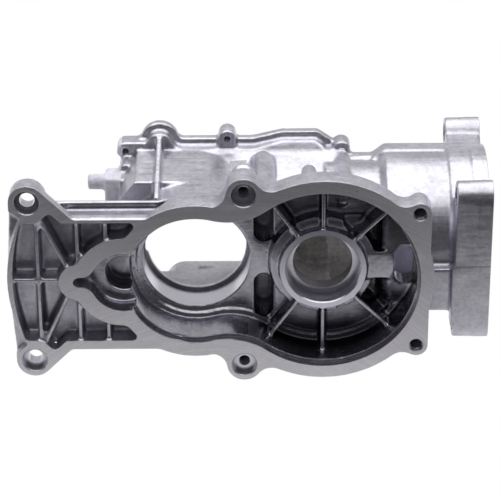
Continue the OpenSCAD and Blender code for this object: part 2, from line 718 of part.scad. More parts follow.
// Bearing seats, screw holes and slots, all cut after the casting
module machining() {
    rod_y(0, 0, 0, boss_setback + crank_seat_depth, crank_seat_r, crank_seat_r);
    rod_y(0, 0, boss_setback, chamber_back + 2, crank_hole_r, crank_hole_r);
    rod_y(armature_x, 0, 0, armature_seat_end, armature_seat_r, armature_seat_r);
    rod_y(armature_x, 0, chamber_depth - 0.2, chamber_depth + 0.5, armature_seat_r + 0.7,
          armature_seat_r);
    rod_y(armature_x, 0, 0, body_depth, armature_lip_r, armature_lip_r);
    // gap in the lip, on the idler's side
    translate([armature_x - armature_seat_r, armature_seat_end, -4])
        cube([8, armature_lip_t + 1, 20]);
    rod_y(idler_x, 0, 0, idler_land_depth + idler_seat_depth, idler_seat_r, idler_seat_r);
    rod_y(idler_x, 0, 0, idler_land_depth + idler_seat_depth + 1.5, idler_seat_r - 2,
          idler_seat_r - 2);
    rod_x(barrel_depth, 0, neck_end_x + 2, nose_x + eps, barrel_bore_r, barrel_bore_r);
    for (side = [1, -1]) {
        rod_y(end_x, side * end_lug_z, -eps, plate_depth + eps, end_screw_d / 2, end_screw_d / 2);
        rod_y(end_x, side * end_lug_z, -eps, sleeve_depth - 0.5, sleeve_d / 2, sleeve_d / 2);
        rod_y(-sleeve_lug_x, side * sleeve_lug_z, -eps, chamber_depth - 3, tapped_d / 2,
              tapped_d / 2);
        rod_y(-sleeve_lug_x, side * sleeve_lug_z, -eps, sleeve_depth, sleeve_d / 2, sleeve_d / 2);
        rod_y(corner_lug_x, side * corner_lug_z, -eps, flange_depth, corner_screw_d / 2,
              corner_screw_d / 2);
        for (lug = cover_lugs)
            rod_y(lug[0], side * lug[1], body_depth - cover_lug_length - eps, body_depth + eps,
                  cover_screw_d / 2, cover_screw_d / 2);
        along_y(chamber_depth - 1, side_slot_end)
            slot([side_slot_x, side * side_slot_z[0]], [side_slot_x, side * side_slot_z[1]],
                 side_slot_r);
    }
    for (y = [-1, 1], z = [-1, 1])
        rod_x(barrel_depth + y * nose_bolt_y / 2, z * nose_bolt_z / 2, nose_lug_x - eps,
              nose_x + eps, nose_bolt_d / 2, nose_bolt_d / 2);
    along_y(boss_setback, barrel_depth - 15)
        slot([barrel_slot_x, barrel_slot_half - 0.5], [barrel_slot_x, -barrel_slot_half - 0.5],
             barrel_slot_r);
    // oil hole beside the boss
    rod_y(8, -20.6, boss_step_y - 1, chamber_back + 6, 1.6, 1.6);
}

module housing() {
    color("silver") translate([0, -boss_setback, 0])
        difference() {
            union() {
                difference() {
                    union() {
                        front_solids();
                        motor_side_solids();
                        barrel_solids();
                    }
                    cored_rooms();
                }
                chamber_fittings();
            }
            machining();
        }
}

housing();
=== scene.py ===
# %% [markdown]
# # A die-cast gearbox housing
# The housing is one aluminium casting. It was cast with a little stock on the places
# that matter, and then machined: the gasket face, the bearing seats, the screw holes and
# the nose face were cut afterwards. Crisp cuts in a soft skin are what makes such a part
# look real, so this script works in the maker's order. It takes the CAD solid as the
# casting, gives it the soft edges of a casting, and then cuts the machined faces crisp.
# Lengths are in metres, in the CAD frame: the origin is the centre of the crank bearing
# seat's mouth, X runs along the barrel and Z is up.

# %% Set up the frame
import json
import math

import bmesh
import bpy
import numpy as np
from mathutils import Matrix, Vector


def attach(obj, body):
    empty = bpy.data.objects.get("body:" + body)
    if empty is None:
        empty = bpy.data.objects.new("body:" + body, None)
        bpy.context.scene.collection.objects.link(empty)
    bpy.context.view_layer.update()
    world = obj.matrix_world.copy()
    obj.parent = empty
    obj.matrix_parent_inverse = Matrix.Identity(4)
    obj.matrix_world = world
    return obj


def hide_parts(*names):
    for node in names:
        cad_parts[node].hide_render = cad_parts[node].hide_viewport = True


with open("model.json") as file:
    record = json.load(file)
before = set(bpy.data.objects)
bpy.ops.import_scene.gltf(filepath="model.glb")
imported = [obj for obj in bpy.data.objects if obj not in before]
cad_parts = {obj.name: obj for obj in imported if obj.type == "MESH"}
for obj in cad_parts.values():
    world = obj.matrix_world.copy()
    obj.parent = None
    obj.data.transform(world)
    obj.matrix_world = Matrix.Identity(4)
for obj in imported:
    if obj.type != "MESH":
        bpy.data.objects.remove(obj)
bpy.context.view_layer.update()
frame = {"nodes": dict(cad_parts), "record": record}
MM = 0.001
X_AXIS, Y_AXIS = 0, 1
scene = bpy.context.scene
housing = frame["nodes"]["housing"]
mounts = {mount["name"]: mount for mount in frame["record"]["mounts"]}
print("mounts:", ", ".join(sorted(mounts)))

# %% [markdown]
# ## The photograph's camera
# The photograph looks down on the open front of the housing through a long lens, so its
# far edges hardly shrink. The camera could be aimed by eye. Here its place, lens and slight
# roll come from a fit to two things whose true shape is known: the level gasket face and
# the round bores.

# %% Place the camera
LOOK_DOWN = math.radians(27.2)
ROLL = math.radians(-0.35)
CAMERA_AT = Vector((-0.03154, -0.86529, 0.45440))
SENSOR_MM, LENS_MM = 36, 163
FARTHEST = 10
back = Vector((0, -math.cos(LOOK_DOWN), math.sin(LOOK_DOWN)))
level = Vector((1, 0, 0))
right = level * math.cos(ROLL) + back.cross(level) * math.sin(ROLL)
upward = back.cross(right)
camera = bpy.data.objects.new("camera", bpy.data.cameras.new("camera"))
camera.data.sensor_width = SENSOR_MM
camera.data.lens = LENS_MM
camera.data.clip_end = FARTHEST
camera.matrix_world = Matrix((
    (right.x, upward.x, back.x, CAMERA_AT.x),
    (right.y, upward.y, back.y, CAMERA_AT.y),
    (right.z, upward.z, back.z, CAMERA_AT.z),
    (0, 0, 0, 1)))
scene.collection.objects.link(camera)
scene.camera = camera
print("camera at", tuple(round(v, 3) for v in camera.location))

# %% [markdown]
# ## The machined features
# On the real part these are bearing seats, drilled and recessed screw holes and the bore
# of the barrel. A drill and a boring bar both leave a turned shape, so each bore is a line
# of stations: places along its axis, each with a radius, in millimetres. Places and radii
# come from the record's mounts where it has them. The same stations say where the casting
# carries stock, where the cutter goes and which faces look freshly turned.

# %% List the bores
OUT = 1.2
CHAMFER = 0.45
BOSS_R, BOSS_CUT = 18.8, 0.6
CRANK_SEAT_END, CRANK_HOLE_END = 8, 14.5
ARMATURE_SEAT_HALF, ARMATURE_SEAT_END = 7.5, 25.5
IDLER = (-86, 0)
IDLER_STATIONS = ((-2, 8), (5, 8), (5, 6), (6.5, 6))
BARREL_START = 29.2
RECESS_R = 5.25
COVER_HOLE_DEPTH, NOSE_HOLE_DEPTH = 8.6, 15.6
THREAD_LEAD = 0.6
COVER_THREAD_DEPTH, COVER_THREAD_LEAD = 8, 0.5
# Each row: the mount, where its hole ends and how deep its recess is.
FRONT_SCREWS = (("end_screws", 2.6, 3.5), ("sleeve_screws", 8, 4), ("corner_screws", 0, 0))
COVER_SCREWS = ("cover_screws_left", "cover_screws_middle", "cover_screws_right")


def place(name):
    """A mount's centre in millimetres."""
    return np.array(mounts[name]["pos_m"]) / MM


def radius(name):
    """A mount's radius in millimetres."""
    dims = mounts[name]["dims"]
    return dims.get("r_mm", dims.get("hole_r_mm"))


def bore(axis, centre, *stations, mouth=-1):
    """A turned cutter; its mouth opens towards the axis' start (-1) or its end (1)."""
    return {"axis": axis, "centre": tuple(centre), "stations": stations, "mouth": mouth}


FACE_Y = place("gasket_face")[1]
COVER_Y = place("cover_face")[1]
NOSE_X = place("nose_face")[0]
armature, barrel = place("armature_seat"), place("barrel_bore")
seat, shaft_hole = radius("crank_seat"), radius("crank_shaft_hole")
BORES = [
    bore(Y_AXIS, (0, 0), (-1, BOSS_R + BOSS_CUT), (0, BOSS_R + BOSS_CUT), (0, seat + CHAMFER),
         (CHAMFER, seat), (CRANK_SEAT_END, seat), (CRANK_SEAT_END, shaft_hole),
         (CRANK_HOLE_END, shaft_hole)),
    bore(Y_AXIS, (armature[0], 0), (armature[1] - ARMATURE_SEAT_HALF, radius("armature_seat")),
         (ARMATURE_SEAT_END, radius("armature_seat"))),
    bore(Y_AXIS, IDLER, *IDLER_STATIONS),
    bore(X_AXIS, (barrel[1], 0), (BARREL_START, radius("barrel_bore")),
         (NOSE_X, radius("barrel_bore")), mouth=1),
]
TAPPED = []
for side in (1, -1):
    for name, bottom, recess in FRONT_SCREWS:
        centre = (place(name)[0], side * mounts[name]["dims"]["spacing_y_mm"] / 2)
        start, hole = FACE_Y + recess, radius(name)
        stations = [(start, hole), (bottom, hole)]
        if recess:
            stations = [(FACE_Y, RECESS_R), (start, RECESS_R)] + stations
        BORES.append(bore(Y_AXIS, centre, *stations))
        if name != "end_screws":
            TAPPED.append((centre, start + THREAD_LEAD, bottom, hole))
    for name in COVER_SCREWS:
        centre = (place(name)[0], side * mounts[name]["dims"]["spacing_y_mm"] / 2)
        hole = radius(name)
        BORES.append(bore(Y_AXIS, centre, (COVER_Y - COVER_HOLE_DEPTH, hole), (COVER_Y, hole),
                          mouth=1))
        TAPPED.append((centre, COVER_Y - COVER_THREAD_DEPTH, COVER_Y - COVER_THREAD_LEAD, hole))
    for end in (-1, 1):
        dims = mounts["nose_bolts"]["dims"]
        hole = radius("nose_bolts")
        centre = (barrel[1] + end * dims["spacing_x_mm"] / 2, side * dims["spacing_y_mm"] / 2)
        BORES.append(bore(X_AXIS, centre, (NOSE_X - NOSE_HOLE_DEPTH, hole), (NOSE_X, hole),
                          mouth=1))
print(len(BORES), "bores,", len(TAPPED), "of them tapped")

# %% [markdown]
# ## The floor and the light
# The photograph shows bright metal on plain white under soft light. Metal shows what it
# mirrors, so the surroundings matter as much as the lamp. The floor is white to the camera
# and pale to the light, and a broad soft lamp hangs above. In the metal's mirror rays the
# floor glows, brighter behind the part than in front: painted light. The backdrop is pale
# behind the part and dim in front. A dark card that the camera doesn't see lies on the
# floor in front, as in a product shot, so that the walls have something dark to mirror: it
# is painted shade, a darker floor in front of the part.

# %% Make the floor and the lights
FLOOR_Z = -0.0487
FLOOR_SIZE, CARD_SIZE = 6, 1.6
CARD_Y, CARD_LIFT = -0.90, 0.002
LAMP_AT, LAMP_TOWARD = (0, 0.10, 0.9), (0, 0.05, 0)
LAMP_SIZE, LAMP_WATTS = (2.0, 1.5), 16
WHITE = (1, 1, 1, 1)


def add(tree, kind, values=None, **settings):
    """Adds a node, sets its properties, and sets or links its inputs."""
    made = tree.nodes.new(kind)
    for name, value in settings.items():
        setattr(made, name, value)
    for socket, value in (values or {}).items():
        if isinstance(value, bpy.types.NodeSocket):
            tree.links.new(value, made.inputs[socket])
        else:
            made.inputs[socket].default_value = value
    return made


def new_material(name, colour, roughness, metallic=0.0):
    """A Principled material; gives back the material, its tree and its shader."""
    material = bpy.data.materials.new(name)
    material.use_nodes = True
    shader = material.node_tree.nodes["Principled BSDF"]
    shader.inputs["Base Color"].default_value = (*colour, 1)
    shader.inputs["Roughness"].default_value = roughness
    shader.inputs["Metallic"].default_value = metallic
    return material, material.node_tree, shader


def square(name, size, centre, material):
    """A square facing up."""
    mesh = bpy.data.meshes.new(name)
    half = size / 2
    mesh.from_pydata([(x * half + centre[0], y * half + centre[1], centre[2])
                      for x, y in ((-1, -1), (1, -1), (1, 1), (-1, 1))], [], [(0, 1, 2, 3)])
    mesh.materials.append(material)
    obj = bpy.data.objects.new(name, mesh)
    scene.collection.objects.link(obj)
    return obj


floor_material, tree, shader = new_material("floor", (0.9, 0.9, 0.9), 0.6)
rays = add(tree, "ShaderNodeLightPath")
on_floor = add(tree, "ShaderNodeSeparateXYZ", {
    0: add(tree, "ShaderNodeTexCoord").outputs["Object"]})
# Painted light: to the metal's mirror rays the floor glows, dimmer in front of the part and
# brighter behind it.
mirrored_glow = add(tree, "ShaderNodeMapRange", {
    "Value": on_floor.outputs["Y"], "From Min": -0.04, "From Max": 0.06, "To Min": 0.62,
    "To Max": 1.0})
whiteness = add(tree, "ShaderNodeMath", {
    0: rays.outputs["Is Camera Ray"], 1: mirrored_glow.outputs["Result"]}, operation="MAXIMUM")
white = add(tree, "ShaderNodeEmission", {"Color": WHITE, "Strength": whiteness.outputs[0]})
seen = add(tree, "ShaderNodeMath", {
    0: rays.outputs["Is Camera Ray"], 1: rays.outputs["Is Glossy Ray"]}, operation="MAXIMUM")
mix = add(tree, "ShaderNodeMixShader", {
    0: seen.outputs[0], 1: shader.outputs[0], 2: white.outputs[0]})
tree.links.new(mix.outputs[0], tree.nodes["Material Output"].inputs["Surface"])
floor = square("floor", FLOOR_SIZE, (0, 0, FLOOR_Z), floor_material)
# Painted shade: a dark sheet in front that the metal mirrors and the camera never sees.
card_material = new_material("dark_card", (0.03, 0.03, 0.035), 0.9)[0]
card = square("dark_card", CARD_SIZE, (0, CARD_Y, FLOOR_Z + CARD_LIFT), card_material)
card.visible_camera = False
card.visible_shadow = False


def area_light(name, at, toward, size, power):
    """A soft light at a place, aimed at another."""
    lamp = bpy.data.lights.new(name, "AREA")
    lamp.shape = "RECTANGLE"
    lamp.size, lamp.size_y = size
    lamp.energy = power
    obj = bpy.data.objects.new(name, lamp)
    obj.location = at
    obj.rotation_euler = (Vector(toward) - Vector(at)).to_track_quat("-Z", "Y").to_euler()
    scene.collection.objects.link(obj)


area_light("above", LAMP_AT, LAMP_TOWARD, LAMP_SIZE, LAMP_WATTS)
world = bpy.data.worlds.new("world")
world.use_nodes = True
tree = world.node_tree
toward = add(tree, "ShaderNodeSeparateXYZ", {
    0: add(tree, "ShaderNodeTexCoord").outputs["Generated"]})
behind = add(tree, "ShaderNodeMapRange", {
    "Value": toward.outputs["Y"], "From Min": -0.1, "From Max": 0.5, "To Min": 0.10,
    "To Max": 0.58})
tree.links.new(behind.outputs["Result"], tree.nodes["Background"].inputs["Strength"])
tree.nodes["Background"].inputs["Color"].default_value = WHITE
scene.world = world
print("floor at", FLOOR_Z)

# %% [markdown]
# ## The register round the gear chamber
# The cover is centred by a shallow step that runs round the mouth of the chamber. The step
# follows the chamber's outline: two circles joined by two fillets. It could be read from
# the solid's edges, but four arcs worked out from three radii are shorter and cleaner. The
# casting has no step yet, and the cutter makes it.

# %% Draw the register's outline
REGISTER_STEP = 1.4
REGISTER_Y = FACE_Y + 3.3
ROOM_R, ARMATURE_ROOM_R, WAIST_R = 40.2, 28.7, 28.0
ROOM_POINTS, ARMATURE_POINTS, WAIST_POINTS = 150, 100, 24


def arc(centre, size, first, last, count):
    """Points along an arc in X and Z."""
    angle = np.linspace(first, last, count, endpoint=False)
    return np.column_stack((centre[0] + size * np.cos(angle), centre[1] + size * np.sin(angle)))


def room_outline(grow):
    """The waisted room's outline, anticlockwise, grown by some millimetres."""
    big, small, gap = ROOM_R + grow, ARMATURE_ROOM_R + grow, armature[0]
    x = ((small + WAIST_R) ** 2 - (big + WAIST_R) ** 2 - gap ** 2) / (-2 * gap)
    z = math.sqrt((big + WAIST_R) ** 2 - x ** 2)
    on_big, on_small = math.atan2(z, x), math.atan2(z, x - gap)
    return np.vstack((
        arc((0, 0), big, -on_big, on_big, ROOM_POINTS),
        arc((x, z), WAIST_R, on_big + math.pi, on_small + math.pi, WAIST_POINTS),
        arc((gap, 0), small, on_small, 2 * math.pi - on_small, ARMATURE_POINTS),
        arc((x, -z), WAIST_R, math.pi - on_small, math.pi - on_big, WAIST_POINTS)))


register = room_outline(REGISTER_STEP)
print("register outline has", len(register), "points")

# %% [markdown]
# ## The casting
# A casting has no sharp edge: its inside corners have fillets and its outside edges small
# radii. A Bevel modifier works badly where so many walls cross. Instead the solid's
# vertices on a machined face or bore are moved out by the stock, and a voxel remesh joins
# everything into one skin. Growing the skin and shrinking it again leaves fillets in the
# inside corners, and smoothing turns the outside edges into small radii.

# %% Cast the skin
STOCK = 0.9
FILLET = 0.55
VOXEL = 0.55
WELD_GAP = 0.005
SMOOTHNESS, SMOOTH_PASSES = 0.5, 3
KEPT_SHARE = 0.18
ON_PLANE, ON_WALL, ON_STEP = 0.02, 0.06, 0.4
PAST_FLOOR, PAST_RIM, PAST_END = 0.05, 0.1, 0.2
PLANES = ((Y_AXIS, FACE_Y, -1), (Y_AXIS, COVER_Y, 1), (X_AXIS, NOSE_X, 1))


def across(axis):
    """The two directions across an axis."""
    return [other for other in (0, 1, 2) if other != axis]


def with_stock(points):
    """The solid's points, in millimetres, moved to where the raw casting has them."""
    moved = points.copy()
    for item in BORES:
        sides = across(item["axis"])
        offset = points[:, sides] - np.array(item["centre"])
        distance = np.linalg.norm(offset, axis=1)
        along = points[:, item["axis"]]
        low = min(station[0] for station in item["stations"]) - PAST_END
        high = max(station[0] for station in item["stations"]) + PAST_END
        for size in {station[1] for station in item["stations"]}:
            on_wall = (np.abs(distance - size) < ON_WALL) & (along > low) & (along < high)
            shrink = 1 - min(STOCK, size / 2) / size
            moved[np.ix_(on_wall, sides)] = np.array(item["centre"]) + offset[on_wall] * shrink
    near_face = np.flatnonzero(points[:, 1] < REGISTER_Y + PAST_FLOOR)
    flat = points[near_face][:, (0, 2)]
    apart = np.linalg.norm(flat[:, None] - register[None], axis=2)
    nearest = apart.argmin(axis=1)
    on_step = apart[np.arange(len(flat)), nearest] < ON_STEP
    along = np.roll(register, -1, axis=0) - np.roll(register, 1, axis=0)
    inward = np.column_stack((-along[:, 1], along[:, 0]))
    inward /= np.linalg.norm(inward, axis=1)[:, None]
    moved[np.ix_(near_face[on_step], (0, 2))] += inward[nearest[on_step]] * REGISTER_STEP
    for axis, value, sign in PLANES:
        moved[np.abs(points[:, axis] - value) < ON_PLANE, axis] += sign * STOCK
    on_boss = ((np.abs(points[:, 1]) < ON_PLANE)
               & (np.linalg.norm(points[:, (0, 2)], axis=1) < BOSS_R + PAST_RIM))
    moved[on_boss, 1] -= STOCK
    return moved


def casting_mesh():
    """The raw casting as a new mesh."""
    mesh = housing.data.copy()
    mesh.name = "cast_skin"
    points = np.empty(len(mesh.vertices) * 3)
    mesh.vertices.foreach_get("co", points)
    mesh.vertices.foreach_set("co", (with_stock(points.reshape(-1, 3) / MM) * MM).ravel())
    mesh.update()
    return mesh


def apply_modifier(obj, kind, **values):
    """Adds a modifier, sets its values and applies it."""
    modifier = obj.modifiers.new(kind.lower(), kind)
    for name, value in values.items():
        setattr(modifier, name, value)
    with bpy.context.temp_override(object=obj, active_object=obj):
        bpy.ops.object.modifier_apply(modifier=modifier.name)


skin = bpy.data.objects.new("cast_skin", casting_mesh())
scene.collection.objects.link(skin)
apply_modifier(skin, "WELD", merge_threshold=WELD_GAP * MM)
apply_modifier(skin, "REMESH", mode="VOXEL", voxel_size=VOXEL * MM)
for grow in (FILLET, -FILLET):
    apply_modifier(skin, "DISPLACE", strength=grow * MM, mid_level=0)
    apply_modifier(skin, "REMESH", mode="VOXEL", voxel_size=VOXEL * MM)
print("remeshed to", len(skin.data.polygons), "faces")
apply_modifier(skin, "SMOOTH", factor=SMOOTHNESS, iterations=SMOOTH_PASSES)
apply_modifier(skin, "DECIMATE", ratio=KEPT_SHARE)
print("cast skin has", len(skin.data.polygons), "faces")

# %% [markdown]
# ## The machining
# A machinist cuts the casting with a face mill, a small end mill for the register, drills
# and boring bars. The flat faces could be modelled by moving vertices, but a Boolean cut
# leaves a crisp edge wherever the skin happens to lie, as the real tool does. The face
# mills come first, then the register, then the bores. Each cutter has a small chamfer at
# its mouth, which it leaves round the hole.

# %% Cut the machined faces
FRONT_MILL_X, REAR_MILL_X, NOSE_MILL_Y = (-150, 60), (-105, 16), (0, 100)
MILL_Z, MILL_LIFT = 60, 9
NECK_X, NECK_Z = 2.0, 20.3
CHAMFER_SHARE = 0.12
SMALL_BORE_R, FEW_SIDES, MANY_SIDES = 6, 48, 96


def add_ring(bm, axis, centre, along, size, segments):
    """A ring of vertices round an axis."""
    first, second = across(axis)
    ring = []
    for i in range(segments):
        angle = 2 * math.pi * i / segments
        point = [0, 0, 0]
        point[first] = centre[0] + size * math.cos(angle)
        point[second] = centre[1] + size * math.sin(angle)
        point[axis] = along
        ring.append(bm.verts.new(Vector(point) * MM))
    return ring


def add_bore(bm, item):
    """Adds a bore's turned cutter, with its chamfer and its way out of the mouth."""
    stations = list(item["stations"])
    if item["mouth"] > 0:
        stations.reverse()
    face, size = stations[0]
    chamfer = min(CHAMFER, size * CHAMFER_SHARE)
    stations = [(face + item["mouth"] * OUT, size + chamfer), (face, size + chamfer),
                (face - item["mouth"] * chamfer, size)] + stations[1:]
    segments = MANY_SIDES if size > SMALL_BORE_R else FEW_SIDES
    rings = [add_ring(bm, item["axis"], item["centre"], *station, segments)
             for station in stations]
    bm.faces.new(rings[0][::-1])
    bm.faces.new(rings[-1])
    for low, high in zip(rings, rings[1:]):
        for i in range(segments):
            j = (i + 1) % segments
            bm.faces.new((low[i], low[j], high[j], high[i]))


def add_prism(bm, outline, start, end):
    """Adds a prism along Y over an outline in X and Z, in millimetres."""
    low, high = ([bm.verts.new(Vector((x, y, z)) * MM) for x, z in outline] for y in (start, end))
    bm.faces.new(low)
    bm.faces.new(high[::-1])
    for i in range(len(low)):
        bm.faces.new((low[i - 1], low[i], high[i], high[i - 1]))


def oblong(left, right):
    """A mill's outline in X and Z, as high as all the mills are."""
    return [(left, -MILL_Z), (right, -MILL_Z), (right, MILL_Z), (left, MILL_Z)]


def mill_faces(bm):
    """Prisms that leave the three flat faces; the one at the back keeps clear of the neck."""
    low_left, low_right, high_right, high_left = oblong(*REAR_MILL_X)
    round_neck = [(low_right[0], -NECK_Z), (NECK_X, -NECK_Z), (NECK_X, NECK_Z),
                  (low_right[0], NECK_Z)]
    add_prism(bm, oblong(*FRONT_MILL_X), FACE_Y - MILL_LIFT, FACE_Y)
    add_prism(bm, [low_left, low_right, *round_neck, high_right, high_left], COVER_Y,
              COVER_Y + MILL_LIFT)
    add_prism(bm, oblong(NOSE_X, NOSE_X + MILL_LIFT), *NOSE_MILL_Y)


def mill_register(bm):
    """The cutter's path round the register."""
    add_prism(bm, register, FACE_Y - OUT, REGISTER_Y)


def bore_all(bm):
    """All the bores, which don't touch one another."""
    for item in BORES:
        add_bore(bm, item)


def subtract(obj, name, build):
    """Cuts an object with a cutter that a function builds in a bmesh."""
    bm = bmesh.new()
    build(bm)
    bmesh.ops.recalc_face_normals(bm, faces=bm.faces)
    mesh = bpy.data.meshes.new(name)
    bm.to_mesh(mesh)
    bm.free()
    cutter = bpy.data.objects.new(name, mesh)
    scene.collection.objects.link(cutter)
    apply_modifier(obj, "BOOLEAN", object=cutter, operation="DIFFERENCE", solver="MANIFOLD")
    bpy.data.objects.remove(cutter)
    bpy.data.meshes.remove(mesh)
    print(name, "leave", len(obj.data.polygons), "faces")


subtract(skin, "face_mills", mill_faces)
subtract(skin, "register_cutter", mill_register)
subtract(skin, "drills_and_boring_bars", bore_all)

# %% [markdown]
# ## The tree that winds a thread
# The small screw holes are tapped, and each shows a few turns of thread inside its mouth.
# The ridges could be cut into the skin, at the cost of many faces. A wound ridge laid on
# the wall looks the same. Threads repeat, so a node group winds one of unit size and puts
# a copy at every point, scaled to its hole.

# %% Build the tree that winds a thread
THREAD_HEIGHT = 4
THREAD_TURNS, THREAD_RIDGE, THREAD_GAP = 12.0, 0.09, 0.05


def thread_group():
    """Geometry nodes: a wound ridge of unit size at each point, scaled to its hole."""
    group = bpy.data.node_groups.new("threads", "GeometryNodeTree")
    for name, kind, way in (("Holes", "Geometry", "INPUT"), ("Turns", "Float", "INPUT"),
                            ("Ridge", "Float", "INPUT"), ("Material", "Material", "INPUT"),
                            ("Threads", "Geometry", "OUTPUT")):
        group.interface.new_socket(name, in_out=way, socket_type="NodeSocket" + kind)
    given = add(group, "NodeGroupInput")
    spiral = add(group, "GeometryNodeCurveSpiral", {
        "Resolution": 24, "Rotations": given.outputs["Turns"], "Start Radius": 1,
        "End Radius": 1, "Height": THREAD_HEIGHT})
    ridge = add(group, "GeometryNodeCurvePrimitiveCircle", {
        "Resolution": 4, "Radius": given.outputs["Ridge"]})
    wound = add(group, "GeometryNodeCurveToMesh", {
        "Curve": spiral.outputs["Curve"], "Profile Curve": ridge.outputs["Curve"],
        "Fill Caps": True})
    size = add(group, "GeometryNodeInputNamedAttribute", {"Name": "size"},
               data_type="FLOAT_VECTOR")
    copies = add(group, "GeometryNodeInstanceOnPoints", {
        "Points": given.outputs["Holes"], "Instance": wound.outputs["Mesh"],
        "Rotation": (math.radians(-90), 0, 0), "Scale": size.outputs["Attribute"]})
    real = add(group, "GeometryNodeRealizeInstances", {"Geometry": copies.outputs["Instances"]})
    painted = add(group, "GeometryNodeSetMaterial", {
        "Geometry": real.outputs["Geometry"], "Material": given.outputs["Material"]})
    result = add(group, "NodeGroupOutput")
    group.links.new(painted.outputs["Geometry"], result.inputs["Threads"])
    return group


winding = thread_group()
print("the thread's tree has", len(winding.nodes), "nodes")

# %% [markdown]
# ## Stained patches and painted shade
# The bare metal isn't even: it has cloudy, stained patches. Shade is painted into its colour
# as well: corners and recesses are darkened from ambient occlusion, and the bottom of the gear
# chamber and of the crank room is darkened by place. These could be painted onto the mesh,
# but a painted mask fits one mesh only. One node group works them out from noise, from
# ambient occlusion and from the place, and each finish takes its own share.

# %% Build the stained patches and the painted shade
# The painted shade at the bottom fades in along X and Y and out along Z, each between two
# places in metres.
LOW_SHADE_X, LOW_SHADE_Y, LOW_SHADE_Z = (-0.048, -0.030), (-0.002, 0.004), (-0.033, -0.020)
CLOUD_SCALE, SPECK_SCALE = 70, 520
CLOUD_SHARE, SPECK_SHARE = 0.6, 0.4


def shader_group(name, inputs, outputs):
    """An empty shader node group with float inputs and typed outputs."""
    group = bpy.data.node_groups.new(name, "ShaderNodeTree")
    for label in inputs:
        group.interface.new_socket(label, in_out="INPUT", socket_type="NodeSocketFloat")
    for label, kind in outputs.items():
        group.interface.new_socket(label, in_out="OUTPUT", socket_type="NodeSocket" + kind)
    return group, add(group, "NodeGroupInput"), add(group, "NodeGroupOutput")


def noise(tree, vector, scale, detail=2.0, roughness=0.5):
    """A noise texture's value."""
    return add(tree, "ShaderNodeTexNoise", {
        "Vector": vector, "Scale": scale, "Detail": detail, "Roughness": roughness}).outputs["Fac"]


def remap(tree, value, low, high, to_low, to_high):
    """A clamped linear change of range."""
    return add(tree, "ShaderNodeMapRange", {
        "Value": value, "From Min": low, "From Max": high, "To Min": to_low,
        "To Max": to_high}).outputs["Result"]


def maths(tree, operation, a, b=0.0):
    """One arithmetic step."""
    return add(tree, "ShaderNodeMath", {0: a, 1: b}, operation=operation).outputs[0]


def stains():
    """How dark the metal is: cloudy patches, and painted shade in the corners and at the bottom.
    """
    group, given, result = shader_group("stains", ("Strength", "Reach"),
                                        {"Tone": "Float", "Dirt": "Float", "Sump": "Float"})
    place_at = add(group, "ShaderNodeTexCoord").outputs["Object"]
    apart = add(group, "ShaderNodeSeparateXYZ", {0: place_at})
    # Painted shade: low places behind the gasket face are painted darker, fading out to the left.
    low_shade = maths(group, "MULTIPLY", remap(group, apart.outputs["Z"], *LOW_SHADE_Z, 1.0, 0.0),
                 remap(group, apart.outputs["Y"], *LOW_SHADE_Y, 0.0, 1.0))
    low_shade = maths(group, "MULTIPLY", low_shade,
                 remap(group, apart.outputs["X"], *LOW_SHADE_X, 0.0, 1.0))
    clouds = noise(group, place_at, CLOUD_SCALE, 5, 0.62)
    specks = noise(group, place_at, SPECK_SCALE, 3, 0.6)
    # Painted shade: the less open air a point has, the darker it is painted, in corners and
    # recesses.
    corner = add(group, "ShaderNodeAmbientOcclusion", {"Distance": given.outputs["Reach"]},
                 samples=12).outputs["AO"]
    open_air = remap(group, corner, 0.15, 0.85, 0.0, 1.0)
    cloud = remap(group, clouds, 0.35, 0.68, 0.0, 1.0)
    speck = remap(group, specks, 0.40, 0.64, 0.0, 1.0)
    dirt = maths(group, "MULTIPLY", maths(group, "SUBTRACT", 1.0, open_air),
                 remap(group, clouds, 0.3, 0.7, 0.75, 1.1))
    spread = maths(group, "ADD", maths(group, "MULTIPLY", cloud, CLOUD_SHARE),
                   maths(group, "MULTIPLY", speck, SPECK_SHARE))
    tone = maths(group, "SUBTRACT", 1.0,
                 maths(group, "MULTIPLY", spread, given.outputs["Strength"]))
    group.links.new(tone, result.inputs["Tone"])
    group.links.new(dirt, result.inputs["Dirt"])
    group.links.new(low_shade, result.inputs["Sump"])
    return group


GROUPS = {"stains": stains()}
print("the stains have", len(GROUPS["stains"].nodes), "nodes")

# %% [markdown]
# ## The skin that the die leaves
# A die leaves a fine grain, long drag marks where the part slid out, slow waves, and on the
# nose flange a thin line where its halves met. All are far finer than the mesh, so they
# are a bump and not geometry. A Bevel node under the bump rounds the edges to the eye.

# %% Build the cast skin's relief
SEAM_START_X = 0.0568
SEAM_CORE, SEAM_EDGE, SEAM_WANDER = 0.00006, 0.00030, 0.00012
SEAM_TONE = 0.35
GRAIN_HEIGHT, WAVE_HEIGHT, DRAG_HEIGHT, SEAM_DEPTH = 0.06, 0.55, 0.09, 0.5
RELIEF, SOFT_EDGE = 0.0012, 0.0005


